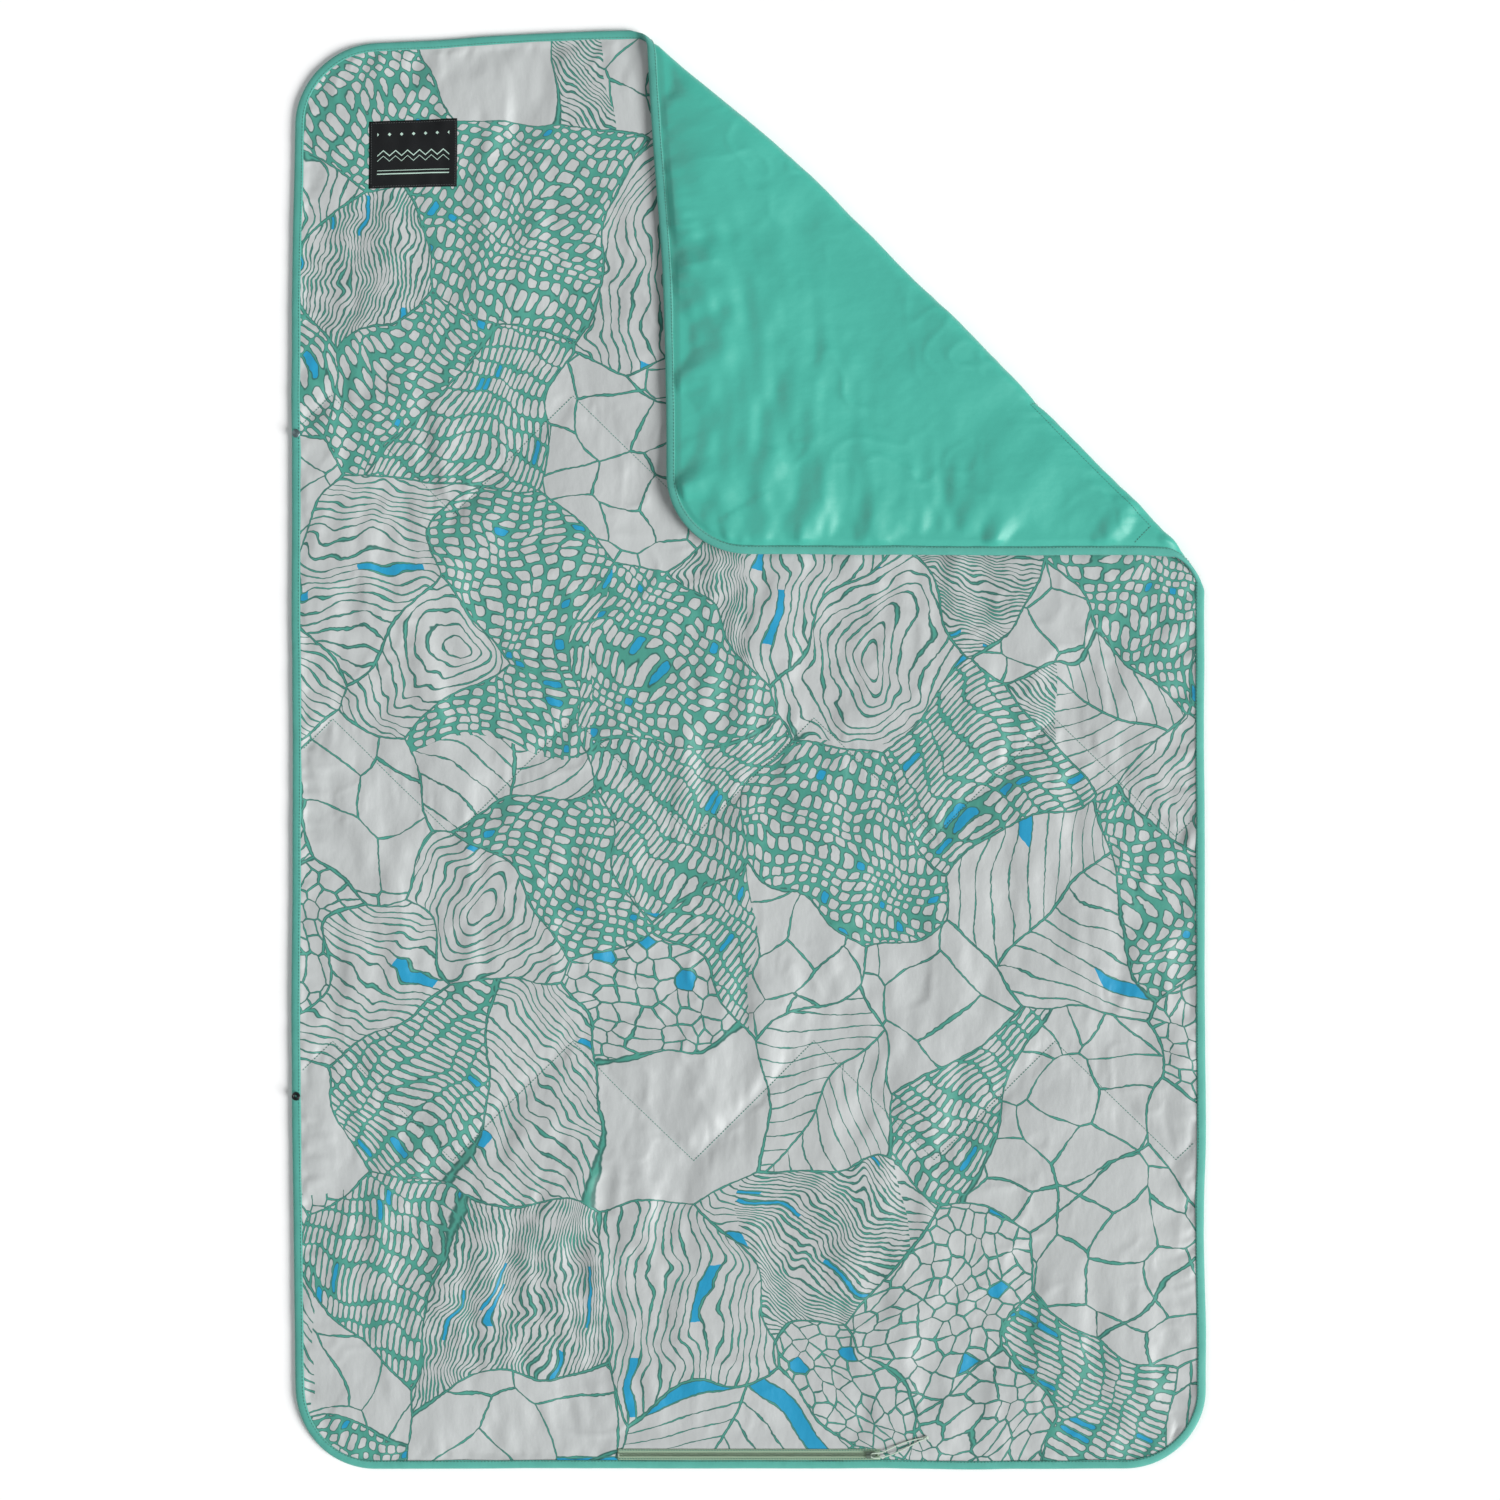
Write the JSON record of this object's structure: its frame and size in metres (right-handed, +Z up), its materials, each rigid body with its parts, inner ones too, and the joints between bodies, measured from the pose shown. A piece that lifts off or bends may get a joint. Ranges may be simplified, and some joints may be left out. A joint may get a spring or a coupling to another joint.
{
  "type": "camp blanket",
  "caption": "Quilted one-person camp blanket, printed face and plain back, bound edge, hem zip pocket, edge snaps, top right corner folded over.",
  "frame": {"origin": "middle of the blanket's outline, on the surface it lies on", "axes": "+Y along the length towards the labelled edge, +X across the width to the right as the printed face is seen with that edge away, +Z up out of the printed face"},
  "size_m": [1.136, 1.79, 0.0243],
  "materials": {
    "printed_face": "printed woven polyester taffeta, soft satin",
    "back_fabric": "plain woven polyester taffeta, satin sheen",
    "fill": "lofted polyester fibre",
    "binding": "folded woven tape",
    "thread": "spun polyester thread",
    "label": "woven damask label",
    "label_thread": "spun polyester thread",
    "zip_tape": "herringbone woven tape",
    "zip_coil": "nylon monofilament coil",
    "pocket_fabric": "plain woven lining",
    "slider_metal": "die-cast zinc, lacquered",
    "cord": "braided cord",
    "snap_metal": "stamped brass, grey lacquer",
    "snap_black": "stamped brass, black enamel"
  },
  "bodies": {
    "blanket": {"back_shell": "back_fabric", "face_shell": "printed_face", "fill_batting": "fill", "binding_tape": "binding", "binding_stitching": "thread", "quilt_stitching_1": "thread", "quilt_stitching_2": "thread", "quilt_stitching_3": "thread", "label_patch": "label", "label_stitching": "label_thread", "zip_tape_upper": "zip_tape", "zip_tape_lower": "zip_tape", "zip_coil_upper": "zip_coil", "zip_coil_lower": "zip_coil", "zip_stitching_upper": "thread", "zip_stitching_lower": "thread", "zip_stop_left": "zip_tape", "zip_stop_right": "zip_tape", "pocket_bag": "pocket_fabric", "snap_cap": "snap_metal", "snap_socket": "snap_metal", "ring_snap_ring": "snap_black", "ring_snap_eyelet": "snap_black"},
    "corner": {"corner_back_shell": "back_fabric", "corner_face_shell": "printed_face", "corner_fill_batting": "fill", "corner_binding_tape": "binding", "corner_binding_stitching": "thread", "corner_quilt_stitching": "thread"},
    "slider": {"zip_slider": "slider_metal"},
    "pull": {"pull_cord": "cord", "pull_cord_knot": "cord"}
  },
  "joints": [
    {"name": "corner_fold", "type": "hinge", "parent": "blanket", "child": "corner", "pos_m": [0.394, 0.394, 0.0117], "axis": [-0.7071, 0.7071, 0], "range_deg": [0, 180]},
    {"name": "zip_slide", "type": "slide", "parent": "blanket", "child": "slider", "axis": [-1, 0, 0], "range_m": [0, 0.3]},
    {"name": "pull_swing", "type": "hinge", "parent": "slider", "child": "pull", "pos_m": [0.152, -0.8767, 0.0151], "axis": [0, -1, 0], "range_deg": [0, 150]}
  ]
}
